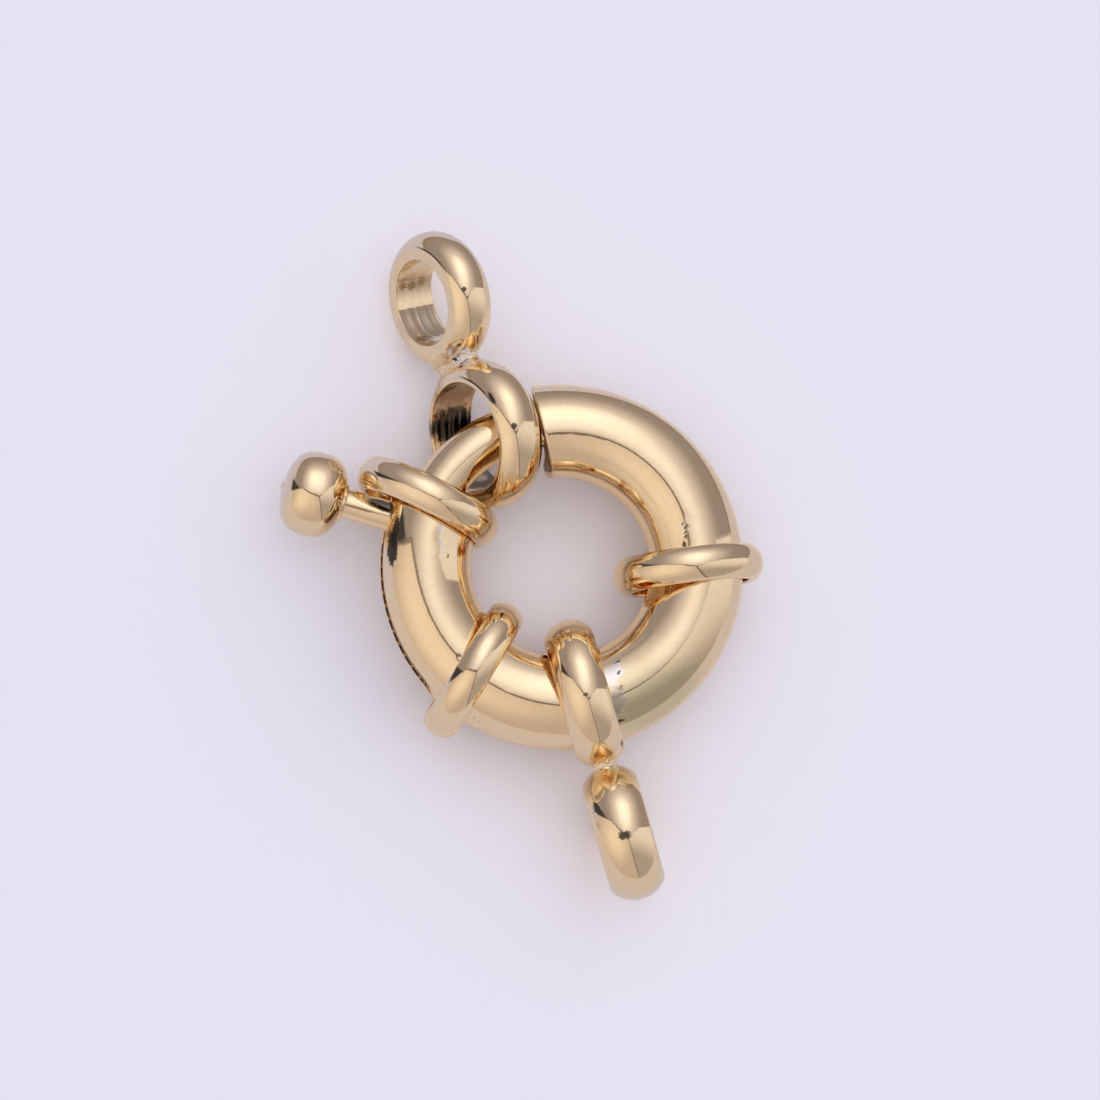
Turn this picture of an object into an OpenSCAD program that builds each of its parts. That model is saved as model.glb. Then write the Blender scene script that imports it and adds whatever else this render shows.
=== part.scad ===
// Sailor clasp: a hollow ring with a sprung sliding bolt, two end links and
// three collars, lying flat. Millimetres, +Z up, Z = 0 is the surface that it
// lies on, the origin is under the middle of its outline. Angles round the
// ring are counted anticlockwise from +X, seen from above.

/* [Ring tube] */
// Radius from the ring's middle to the tube's centreline
ring_radius = 5.60; // [5.5:0.05:5.65]
// Outer radius of the bent tube
tube_radius = 1.92; // [1.85:0.01:1.94]
// Thickness of the tube's wall
tube_wall = 0.25; // [0.2:0.01:0.3]
// Height of the tube's centreline over the surface
ring_height = 3.10; // [3.1:0.01:3.2]
// Angle at which the bolt leaves the tube
mouth_angle = 154; // [153:0.5:155]
// Angle at which the bolt enters the tube again
keeper_angle = 96.4; // [94:0.2:97]
// Slant of the sawn keeper end against a square cut
keeper_slant = 7.5; // [0:0.5:10]
// Angle of the inner stop that carries the spring
stop_angle = 286; // [280:1:300]

/* [Slot] */
// Width of the slot for the knob's stem
slot_width = 1.50; // [1.4:0.05:1.7]
// First angle of the slot's centreline, at the closed knob
slot_start = 163.7; // [163.2:0.1:164]
// Last angle of the slot's centreline, at the open knob
slot_end = 219.6; // [219.3:0.1:222]

/* [Bolt and knob] */
// Radius from the ring's middle to the bolt's centreline
bolt_path_radius = 5.98; // [5.9:0.01:6.0]
// Radius of the curved round bolt
bolt_radius = 1.00; // [0.9:0.01:1.02]
// Angle of the bolt's tip when closed
bolt_tip_angle = 91; // [88:0.5:92]
// Angle of the bolt's tail when closed
bolt_tail_angle = 172; // [171:0.5:174]
// Angle of the knob when closed
knob_angle = 164; // [163.8:0.1:164.2]
// Radius from the ring's middle to the knob's middle
knob_reach = 10.55; // [10.3:0.05:11]
// Outer diameter of the flattened knob
knob_diameter = 3.44; // [3:0.02:3.8]
// Thickness of the knob along its stem
knob_thickness = 2.54; // [2.2:0.02:2.8]
// Radius of the knob's stem
stem_radius = 0.625; // [0.55:0.005:0.64]
// Gap all round the stem in the bolt's socket
socket_gap = 0.03; // [0.02:0.01:0.06]

/* [Collars] */
// Outer radius of every collar
collar_radius = 3.10; // [3.05:0.01:3.15]
// Width of every collar along the tube
collar_width = 1.45; // [1.3:0.05:1.5]
// Bore radius of the lower and the side collar
collar_bore = 2.42; // [2.4:0.01:2.5]
// Bore radius of the collar at the mouth
mouth_bore = 2.50; // [2.49:0.01:2.55]

/* [End links] */
// Outer radius of an end link's large ring
large_radius = 3.10; // [3.05:0.01:3.15]
// Bore radius of an end link's large ring
large_bore = 2.31; // [2.29:0.01:2.34]
// Outer radius of an end link's small eye
eye_radius = 2.825; // [2.7:0.005:2.85]
// Bore radius of an end link's small eye
eye_bore = 1.785; // [1.7:0.005:1.8]
// Width of an end link's large ring at its bore
large_width = 2.05; // [2.0:0.01:2.1]
// Width of the loose link's eye at its bore
eye_width = 1.86; // [1.8:0.01:1.95]
// Width of the fixed link's eye at its bore, a heavier ring
fixed_eye_width = 2.30; // [2.2:0.01:2.4]
// Distance between the two ring centres
link_length = 5.92; // [5.85:0.01:6]
// Width of the soldered neck across the link, at its waist
neck_width = 1.90; // [1.7:0.05:2]
// Thickness of the soldered neck along the bores
neck_thickness = 0.95; // [0.8:0.05:1.1]
// Radius of the fillets that waist the neck
neck_fillet = 0.24; // [0.2:0.01:0.3]

/* [Spring] */
// Mean radius of the spring's coils
spring_radius = 0.92; // [0.85:0.01:0.95]
// Radius of the spring's wire
spring_wire = 0.11; // [0.08:0.01:0.12]
// Number of turns
spring_turns = 27; // [20:1:28]

/* [Hidden] */
$fn = 96;

gold = [0.86, 0.74, 0.55];
bright_gold = [0.93, 0.82, 0.62];
steel = [0.66, 0.65, 0.62];

tube_bore = tube_radius - tube_wall;
section_margin = 1;

// A ring here has a half-round section: a round wire whose inner side is bored
// away. Its wire radius follows from its width and wall, and reach() gives how
// far it goes in a direction that has the share `along` of the ring's axis.
function wire_radius(outer, bore, width) =
    (pow(width / 2, 2) + pow(outer - bore, 2)) / (2 * (outer - bore));
function reach(outer, bore, width, along) =
    let(wire = wire_radius(outer, bore, width))
    (outer - wire) * sqrt(1 - along * along) + wire;
function polar(radius, angle) = [radius * cos(angle), radius * sin(angle)];
function axis_of(tilt, azimuth) =
    [sin(tilt) * cos(azimuth), sin(tilt) * sin(azimuth), cos(tilt)];
// Direction, after the tilt and the turn, of a line at `spin` in the ring plane
function along_of(tilt, azimuth, spin) =
    [cos(spin) * cos(tilt) * cos(azimuth) - sin(spin) * sin(azimuth),
     cos(spin) * cos(tilt) * sin(azimuth) + sin(spin) * cos(azimuth),
     -cos(spin) * sin(tilt)];

// Collars: angle on the ring, distance of the centre, turn about the vertical
mouth_seat = [154.3, 6.06, 0];
lower_seat = [230, 5.57, 9];
side_seat = [-0.9, 5.26, 8];

// Fixed link: soldered under the ring, its axis almost level
fixed_angle = -79.4;
fixed_distance = 5.28;
fixed_tilt = 83.6;
fixed_azimuth = 15.8;
fixed_drop = asin((reach(large_radius, large_bore, large_width, cos(fixed_tilt))
    - reach(eye_radius, eye_bore, fixed_eye_width, cos(fixed_tilt))) / link_length);
fixed_spin = -90 + fixed_drop;
fixed_centre = [each polar(fixed_distance, fixed_angle), ring_height];
fixed_eye = fixed_centre + link_length * along_of(fixed_tilt, fixed_azimuth, fixed_spin);

// Swing link: hangs on the bolt and lies on the surface with its eye
swing_tilt = 61;
swing_azimuth = 196;
swing_spin = -85.2;
swing_axis = axis_of(swing_tilt, swing_azimuth);
swing_along = along_of(swing_tilt, swing_azimuth, swing_spin);
swing_rest = reach(eye_radius, eye_bore, eye_width, swing_axis.z);
swing_centre = [-3.09, 5.47, swing_rest - link_length * swing_along.z];
swing_eye = swing_centre + link_length * swing_along;

// The outline's middle, which becomes the origin
knob_round = knob_thickness / 2;
knob_flat = knob_diameter / 2 - knob_round;
knob_lean = 180 - knob_angle;
side_axis_x = cos(90 + side_seat[0] + side_seat[2]);
left_edge = -(knob_reach * cos(knob_lean) + knob_flat * sin(knob_lean) + knob_round);
right_edge = side_seat[1] * cos(side_seat[0])
    + reach(collar_radius, collar_bore, collar_width, side_axis_x);
top_edge = swing_eye.y + reach(eye_radius, eye_bore, eye_width, swing_axis.y);
bottom_edge = fixed_eye.y
    - reach(eye_radius, eye_bore, fixed_eye_width, axis_of(fixed_tilt, fixed_azimuth).y);
middle = [(left_edge + right_edge) / 2, (top_edge + bottom_edge) / 2];

// Put children, drawn round the ring's middle, into the part's frame
module in_frame() {
    translate([-middle.x, -middle.y, 0]) children();
}

// A stretch of round bar or tube bent round the ring's middle
module bent_round(path, radius, from, to) {
    translate([0, 0, ring_height]) rotate([0, 0, from])
        rotate_extrude(angle = to - from) translate([path, 0]) circle(radius);
}

// A half-round ring about +Z with a true cylindrical bore
module half_round_ring(outer, bore, width) {
    wire = wire_radius(outer, bore, width);
    difference() {
        rotate_extrude() translate([outer - wire, 0]) circle(wire);
        cylinder(h = width + section_margin, r = bore, center = true);
    }
}

// A collar on the ring; seat holds its angle, distance and turn
module collar(seat, bore) {
    translate([each polar(seat[1], seat[0]), ring_height])
        rotate([0, 90, seat[0] + 90 + seat[2]])
            half_round_ring(collar_radius, bore, collar_width);
}

// The soldered neck: a web in the angle between the two rings, waisted by fillets
module soldered_neck() {
    neck_length = 1.15;
    rim = neck_width / 2 + neck_fillet;
    translate([(large_radius + link_length - eye_radius) / 2, 0, 0])
        linear_extrude(neck_thickness, center = true) difference() {
            square([neck_length, 2 * rim], center = true);
            for (side = [-1, 1]) translate([0, side * rim]) circle(neck_fillet);
        }
}

// An end link: large ring, small eye and the soldered neck between them
module end_link(eye_ring_width) {
    half_round_ring(large_radius, large_bore, large_width);
    translate([link_length, 0, 0]) half_round_ring(eye_radius, eye_bore, eye_ring_width);
    soldered_neck();
}

// The slot's cutter: a bent square bar with a round hole at each end
module slot_cutter() {
    reach_out = tube_radius + section_margin;
    translate([0, 0, ring_height]) rotate([0, 0, slot_start])
        rotate_extrude(angle = slot_end - slot_start)
            translate([ring_radius, -slot_width / 2]) square([reach_out, slot_width]);
    for (angle = [slot_start, slot_end])
        translate([0, 0, ring_height]) rotate([0, 90, angle])
            translate([0, 0, ring_radius]) cylinder(h = reach_out, r = slot_width / 2);
}

// The keeper end is sawn with a slant, so the tube is drawn longer and trimmed
module keeper_trim() {
    size = 3 * tube_radius;
    translate([each polar(ring_radius, keeper_angle), ring_height])
        rotate([0, 0, keeper_angle + 90 + keeper_slant])
            translate([size / 2, 0, 0]) cube(size, center = true);
}

module ring_tube() {
    spare_angle = 6;
    color(gold) in_frame() {
        difference() {
            bent_round(ring_radius, tube_radius, mouth_angle, 360 + keeper_angle + spare_angle);
            bent_round(ring_radius, tube_bore, mouth_angle - 1, stop_angle);
            bent_round(ring_radius, tube_bore, stop_angle + 4, 360 + keeper_angle + spare_angle + 1);
            slot_cutter();
            keeper_trim();
        }
    }
}

module mouth_collar() {
    color(bright_gold) in_frame() collar(mouth_seat, mouth_bore);
}

module lower_collar() {
    color(bright_gold) in_frame() collar(lower_seat, collar_bore);
}

module side_collar() {
    color(bright_gold) in_frame() collar(side_seat, collar_bore);
}

module fixed_link() {
    color(bright_gold) in_frame() translate(fixed_centre)
        rotate([0, fixed_tilt, fixed_azimuth]) rotate([0, 0, fixed_spin])
            end_link(fixed_eye_width);
}

module bolt() {
    socket_depth = 0.35;
    tip_flat = 0.7;
    color(gold) in_frame() difference() {
        union() {
            bent_round(bolt_path_radius, bolt_radius, bolt_tip_angle + 5, bolt_tail_angle);
            bent_round(bolt_path_radius, bolt_radius * tip_flat, bolt_tip_angle, bolt_tip_angle + 6);
        }
        translate([0, 0, ring_height]) rotate([0, 90, knob_angle])
            translate([0, 0, bolt_path_radius - socket_depth])
                cylinder(h = 3, r = stem_radius + socket_gap);
    }
}

module thumb_knob() {
    stem_depth = 0.30;
    stem_start = bolt_path_radius - stem_depth;
    color(gold) in_frame() translate([0, 0, ring_height]) rotate([0, 90, knob_angle]) {
        translate([0, 0, stem_start]) cylinder(h = knob_reach - stem_start, r = stem_radius);
        translate([0, 0, knob_reach]) rotate_extrude() {
            intersection() {
                translate([knob_flat, 0]) circle(knob_round);
                translate([0, -knob_round]) square([knob_diameter, knob_thickness]);
            }
            translate([0, -knob_round]) square([knob_flat, knob_thickness]);
        }
    }
}

// A coil spring bent round the ring, computed turn by turn as one closed skin
module return_spring() {
    end_gap = 0.8;
    steps_per_turn = 14;
    sides = 6;
    from = bolt_tail_angle + end_gap;
    to = stop_angle - end_gap;
    steps = spring_turns * steps_per_turn;
    function coil_point(step, side) =
        let(share = step / steps,
            around = from + (to - from) * share,
            phase = 360 * step / steps_per_turn,
            turn = 360 * side / sides,
            radial = (spring_radius + spring_wire * cos(turn)) * cos(phase),
            height = (spring_radius + spring_wire * cos(turn)) * sin(phase),
            shift = spring_wire * sin(turn),
            path = bolt_path_radius + radial)
        [path * cos(around) - shift * sin(around),
         path * sin(around) + shift * cos(around),
         ring_height + height];
    points = [for (step = [0:steps]) for (side = [0:sides - 1]) coil_point(step, side)];
    skin = [for (step = [0:steps - 1]) for (side = [0:sides - 1])
        let(next = (side + 1) % sides)
        [step * sides + next, step * sides + side,
         (step + 1) * sides + side, (step + 1) * sides + next]];
    first_cap = [for (side = [0:sides - 1]) side];
    last_cap = [for (side = [sides - 1:-1:0]) steps * sides + side];
    color(steel) in_frame() polyhedron(points, concat(skin, [first_cap, last_cap]), convexity = 10);
}

module swing_link() {
    color(bright_gold) in_frame() translate(swing_centre)
        rotate([0, swing_tilt, swing_azimuth]) rotate([0, 0, swing_spin])
            end_link(eye_width);
}

ring_tube();
mouth_collar();
lower_collar();
side_collar();
fixed_link();
bolt();
thumb_knob();
return_spring();
swing_link();
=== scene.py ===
"""Dresses the sailor clasp: ring tube, collars, end links, bolt, knob and spring.

Lengths in the classes are millimetres round the ring's middle, angles are
degrees anticlockwise from +X, and Place turns them into the model's metres.
"""

import logging
import math
from dataclasses import dataclass, field
from enum import Enum

import bmesh
import bpy
import numpy as np
from mathutils import Matrix, Vector


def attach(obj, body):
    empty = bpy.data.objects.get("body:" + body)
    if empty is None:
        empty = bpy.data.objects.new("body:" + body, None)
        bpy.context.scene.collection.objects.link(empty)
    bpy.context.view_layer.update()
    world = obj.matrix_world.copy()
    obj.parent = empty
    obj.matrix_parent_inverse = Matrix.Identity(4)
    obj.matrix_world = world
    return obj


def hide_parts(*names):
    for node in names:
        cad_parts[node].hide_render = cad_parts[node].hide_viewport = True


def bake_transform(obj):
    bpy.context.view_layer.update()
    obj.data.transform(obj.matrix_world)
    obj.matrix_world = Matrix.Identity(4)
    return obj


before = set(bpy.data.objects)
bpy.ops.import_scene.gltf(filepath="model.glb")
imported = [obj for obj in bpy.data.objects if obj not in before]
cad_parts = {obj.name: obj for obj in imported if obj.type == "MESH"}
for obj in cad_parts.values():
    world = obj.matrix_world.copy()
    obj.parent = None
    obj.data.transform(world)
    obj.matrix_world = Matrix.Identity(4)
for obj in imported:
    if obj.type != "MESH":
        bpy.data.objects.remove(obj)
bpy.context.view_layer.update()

LOG = logging.getLogger("sailor_clasp")
MM = 0.001
MERGE = 2e-7


class Body(str, Enum):
    """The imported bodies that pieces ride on."""

    RING = "ring"
    GATE = "gate"
    LOOSE_LINK = "loose_link"


# Places.


@dataclass(frozen=True)
class Place:
    """Where the ring's middle stands in the model's frame."""

    ring_x: float = 1.5971
    ring_y: float = -0.104577
    ring_height: float = 3.10

    def metres(self, points: np.ndarray) -> np.ndarray:
        """Turn points round the ring's middle into the model's metres.

        Args:
            points: any array of millimetre points, height counted from the surface.

        Returns:
            The same points in metres in the model's frame.
        """
        return (points + np.array([self.ring_x, self.ring_y, 0.0])) * MM

    def polar(self, radius: float, angle: float, height: float | None = None) -> np.ndarray:
        """A point at an angle round the ring, in millimetres.

        Args:
            radius: distance from the ring's middle.
            angle: degrees anticlockwise from +X.
            height: height over the surface, the tube's centreline if left out.

        Returns:
            The point as an array of three.
        """
        turn = math.radians(angle)
        level = self.ring_height if height is None else height
        return np.array([radius * math.cos(turn), radius * math.sin(turn), level])


PLACE = Place()


def turned(axis: str, angle: float) -> np.ndarray:
    """A 3 by 3 rotation about one axis.

    Args:
        axis: X, Y or Z.
        angle: degrees.

    Returns:
        The matrix as an array.
    """
    return np.array(Matrix.Rotation(math.radians(angle), 3, axis))


@dataclass(frozen=True)
class BentBar:
    """A round bar or tube that is bent round the ring's middle."""

    path: float
    radius: float

    def on(self, angle: float, section: float) -> np.ndarray:
        """A point of the skin.

        Args:
            angle: degrees round the ring.
            section: degrees round the section, from the outside over the top.

        Returns:
            The point in millimetres.
        """
        turn = math.radians(section)
        return PLACE.polar(self.path + self.radius * math.cos(turn), angle,
                           PLACE.ring_height + self.radius * math.sin(turn))

    def loops(self, stations: list[tuple[float, float]], sides: int) -> np.ndarray:
        """The skin as round loops.

        Args:
            stations: degrees round the ring and share of the radius of each loop.
            sides: points in a loop.

        Returns:
            Points in millimetres, as (stations, sides, 3).
        """
        turn = np.linspace(0, 2 * math.pi, sides, endpoint=False)
        rows = []
        for angle, share in stations:
            away = self.path + self.radius * share * np.cos(turn)
            rows.append(np.stack([away * math.cos(math.radians(angle)),
                                  away * math.sin(math.radians(angle)),
                                  PLACE.ring_height + self.radius * share * np.sin(turn)], 1))
        return np.array(rows)


# Meshes.


class Skin:
    """Gathers the patches of one piece and makes them one closed mesh."""

    def __init__(self, name: str) -> None:
        """Start an empty skin.

        Args:
            name: name of the object to be made.
        """
        self.name = name
        self.points: list[np.ndarray] = []
        self.faces: list[tuple[int, ...]] = []
        self.across: list[np.ndarray] = []
        self.count = 0

    def sheet(
        self,
        rows: np.ndarray,
        across: np.ndarray | None = None,
        wrap_rows: bool = False,
        wrap_columns: bool = False,
        skip: np.ndarray | None = None,
    ) -> None:
        """Add a grid of points joined by quads.

        Args:
            rows: points as (rows, columns, 3), in millimetres.
            across: how far across its section each point lies, as (rows, columns).
            wrap_rows: join the last row to the first.
            wrap_columns: join the last column to the first.
            skip: quads to leave out, as (row gaps, column gaps).
        """
        tall, wide = rows.shape[:2]
        base = self.count
        self.points.append(rows.reshape(-1, 3))
        flat = np.zeros(tall * wide) if across is None else across.reshape(-1)
        self.across.append(flat)
        self.count += tall * wide
        for i in range(tall if wrap_rows else tall - 1):
            for j in range(wide if wrap_columns else wide - 1):
                if skip is not None and skip[i, j]:
                    continue
                k, m = (i + 1) % tall, (j + 1) % wide
                self.faces.append((base + i * wide + j, base + k * wide + j,
                                   base + k * wide + m, base + i * wide + m))

    def cap(self, rim: np.ndarray) -> None:
        """Close a rim with triangles round its middle.

        Args:
            rim: the rim's points in order, in millimetres.
        """
        base = self.count
        self.points.append(np.vstack([rim, rim.mean(axis=0)[None]]))
        self.across.append(np.zeros(len(rim) + 1))
        self.count += len(rim) + 1
        for i in range(len(rim)):
            self.faces.append((base + i, base + (i + 1) % len(rim), base + len(rim)))

    def make(self, sharp: float = 40.0) -> bpy.types.Object:
        """Make the object, merge its seams and turn its faces outwards.

        Args:
            sharp: edges bent by more degrees than this keep a hard shade.

        Returns:
            The new mesh object, at the origin.
        """
        mesh = bpy.data.meshes.new(self.name)
        points = PLACE.metres(np.vstack(self.points))
        mesh.from_pydata(points.tolist(), [], self.faces)
        mark = mesh.attributes.new("across", "FLOAT", "POINT")
        mark.data.foreach_set("value", np.concatenate(self.across).astype(np.float32))
        cleaned = bmesh.new()
        cleaned.from_mesh(mesh)
        bmesh.ops.remove_doubles(cleaned, verts=cleaned.verts, dist=MERGE)
        bmesh.ops.dissolve_degenerate(cleaned, edges=cleaned.edges, dist=MERGE)
        bmesh.ops.recalc_face_normals(cleaned, faces=cleaned.faces)
        cleaned.to_mesh(mesh)
        cleaned.free()
        mesh.shade_smooth()
        mesh.set_sharp_from_angle(angle=math.radians(sharp))
        made = bpy.data.objects.new(self.name, mesh)
        bpy.context.scene.collection.objects.link(made)
        return made


def hand_in(
    piece: bpy.types.Object,
    body: Body,
    finish: "Finish",
    stands_for: tuple[str, ...] = (),
    slot: str = "",
) -> bpy.types.Object:
    """Dress a finished piece, set it on its body and report it.

    Args:
        piece: the finished mesh object.
        body: the body that it rides on.
        finish: its finish.
        stands_for: nodes that it replaces.
        slot: not used.

    Returns:
        The piece.
    """
    piece.data.materials.clear()
    piece.data.materials.append(finish.material())
    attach(piece, body.value)
    if stands_for:
        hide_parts(*stands_for)
    slot or stands_for[0]
    LOG.info("%s: %d faces on %s", piece.name, len(piece.data.polygons), body.value)
    return piece


# Shader sockets.


class Wire:
    """One output socket of a node tree, with arithmetic on its value."""

    def __init__(self, board: "Board", socket: bpy.types.NodeSocket) -> None:
        """Hold a socket.

        Args:
            board: the board that the socket's node stands on.
            socket: the output socket.
        """
        self.board = board
        self.socket = socket

    def _math(self, operation: str, *values: "Wire | float") -> "Wire":
        """Put a Math node behind values."""
        return self.board.node("ShaderNodeMath", {"operation": operation},
                               dict(enumerate(values)))

    def __add__(self, other: "Wire | float") -> "Wire":
        """Sum."""
        return self._math("ADD", self, other)

    __radd__ = __add__

    def __sub__(self, other: "Wire | float") -> "Wire":
        """Difference."""
        return self._math("SUBTRACT", self, other)

    def __rsub__(self, other: "Wire | float") -> "Wire":
        """Difference from a number."""
        return self._math("SUBTRACT", other, self)

    def __mul__(self, other: "Wire | float") -> "Wire":
        """Product."""
        return self._math("MULTIPLY", self, other)

    __rmul__ = __mul__

    def __truediv__(self, other: "Wire | float") -> "Wire":
        """Quotient."""
        return self._math("DIVIDE", self, other)

    def __rtruediv__(self, other: "Wire | float") -> "Wire":
        """A number's quotient by the value."""
        return self._math("DIVIDE", other, self)

    def __pow__(self, other: float) -> "Wire":
        """Power."""
        return self._math("POWER", self, other)

    def least(self, other: "Wire | float") -> "Wire":
        """The smaller of two values."""
        return self._math("MINIMUM", self, other)

    def most(self, other: "Wire | float") -> "Wire":
        """The larger of two values."""
        return self._math("MAXIMUM", self, other)

    def size(self) -> "Wire":
        """The value without its sign."""
        return self._math("ABSOLUTE", self)

    def root(self) -> "Wire":
        """Square root."""
        return self._math("SQRT", self)

    def span(self, other: "Wire") -> "Wire":
        """Distance from nought of a place with these two coordinates."""
        return (self * self + other * other).root()

    def wave(self) -> "Wire":
        """Sine."""
        return self._math("SINE", self)

    def ramp(self, low: float, high: float) -> "Wire":
        """A smooth step from 0 at low to 1 at high, falling where low is the larger.

        Args:
            low: value where the step begins.
            high: value where it ends.

        Returns:
            The step's value.
        """
        rising = low < high
        return self.board.node(
            "ShaderNodeMapRange",
            {"interpolation_type": "SMOOTHSTEP"},
            {"Value": self, "From Min": min(low, high), "From Max": max(low, high),
             "To Min": 0.0 if rising else 1.0, "To Max": 1.0 if rising else 0.0},
        )


class Board:
    """A node tree on which nodes are set down and wired."""

    def __init__(self, tree: bpy.types.NodeTree) -> None:
        """Clear a tree for use.

        Args:
            tree: the material's or world's node tree.
        """
        self.tree = tree
        tree.nodes.clear()

    def node(
        self,
        kind: str,
        settings: dict[str, object] | None = None,
        values: dict[object, object] | None = None,
        output: str | int = 0,
    ) -> Wire:
        """Set down any node.

        Args:
            kind: the node's type.
            settings: properties, such as an operation, that are set first.
            values: socket name or number to a number, a colour or a Wire.
            output: the output socket that is returned.

        Returns:
            The chosen output as a Wire.
        """
        made = self.tree.nodes.new(kind)
        for key, value in (settings or {}).items():
            setattr(made, key, value)
        for key, value in (values or {}).items():
            socket = made.inputs[key]
            if isinstance(value, Wire):
                self.tree.links.new(value.socket, socket)
            else:
                socket.default_value = value
        return Wire(self, made.outputs[output]) if made.outputs else Wire(self, None)

    def vector(self, operation: str, *values: object, output: str | int = 0) -> Wire:
        """A Vector Math node."""
        return self.node("ShaderNodeVectorMath", {"operation": operation},
                         dict(enumerate(values)), output)

    def dot(self, one: Wire, other: tuple[float, float, float]) -> Wire:
        """The dot product with a fixed vector."""
        return self.vector("DOT_PRODUCT", one, other, output="Value")

    def mixed(self, share: Wire | float, first: object, second: object) -> Wire:
        """Mix two colours.

        Args:
            share: 0 shows the first and 1 the second.
            first: a colour or a Wire.
            second: a colour or a Wire.

        Returns:
            The mixed colour.
        """
        made = self.tree.nodes.new("ShaderNodeMix")
        made.data_type = "RGBA"
        made.clamp_factor = True
        for socket, value in ((made.inputs[0], share), (made.inputs[6], first),
                              (made.inputs[7], second)):
            if isinstance(value, Wire):
                self.tree.links.new(value.socket, socket)
            else:
                socket.default_value = value
        return Wire(self, made.outputs[2])

    def noise(self, at: Wire, scale: float, detail: float = 2.0, rough: float = 0.5) -> Wire:
        """Smooth noise round one half.

        Args:
            at: where to read it.
            scale: how fine it is.
            detail: octaves.
            rough: share of the finer octaves.

        Returns:
            The noise's value.
        """
        return self.node("ShaderNodeTexNoise", {"noise_dimensions": "3D"},
                         {"Vector": at, "Scale": scale, "Detail": detail,
                          "Roughness": rough})


# Finishes.


class Tone(Enum):
    """A mark's colour and how much rougher it lies; some tones paint highlights, reflections and
    shade onto the plating.
    """

    TARNISH = ((0.45, 0.31, 0.17), 0.10)
    BROWN = ((0.30, 0.20, 0.12), 0.16)
    # Painted amber reflection of the neighbouring gold.
    AMBER_REFLECTION = ((0.80, 0.50, 0.20), 0.03)
    BLACK = ((0.045, 0.042, 0.038), 0.20)
    # Painted dark shade and painted dark reflections.
    DARK_REFLECTION_AND_SHADE = ((0.10, 0.105, 0.125), 0.10)
    # Real solder, and also a painted pale glint.
    SOLDER_AND_GLINT = ((0.83, 0.81, 0.82), 0.14)
    GREY = ((0.52, 0.48, 0.43), 0.12)
    OLIVE = ((0.68, 0.60, 0.40), 0.02)

    @property
    def colour(self) -> tuple[float, float, float, float]:
        """The mark's own colour."""
        return (*self.value[0], 1.0)

    @property
    def rough(self) -> float:
        """Roughness added to the plating's."""
        return self.value[1]


@dataclass(frozen=True)
class Spot:
    """A mark on a surface, given in millimetres round the ring's middle."""

    middle: np.ndarray
    radius: float
    tone: Tone
    share: float = 0.85
    soft: float = 0.5
    fray: float = 1.0
    along: np.ndarray | None = None
    stretch: float = 1.0

    def cover(self, board: Board, at: Wire, wobble: Wire) -> Wire:
        """How much of the mark covers a point.

        Args:
            board: the material's board.
            at: the object coordinates.
            wobble: noise that frays the mark's edge.

        Returns:
            The share inside the mark, nought outside.
        """
        middle = PLACE.metres(np.array(self.middle))
        away = board.vector("SUBTRACT", at, tuple(middle))
        if self.along is not None:
            way = np.array(self.along) / np.linalg.norm(self.along)
            pull = board.dot(away, tuple(way)) * (1.0 / self.stretch - 1.0)
            shift = board.node("ShaderNodeVectorMath", {"operation": "SCALE"},
                               {0: tuple(way), 3: pull})
            away = board.vector("ADD", away, shift)
        reach = board.vector("LENGTH", away, output="Value") / (self.radius * MM)
        reach = reach + (wobble - 0.5) * (1.4 * self.fray)
        return reach.ramp(1.0 + self.soft * 0.5, 1.0 - self.soft * 0.5) * self.share


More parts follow.
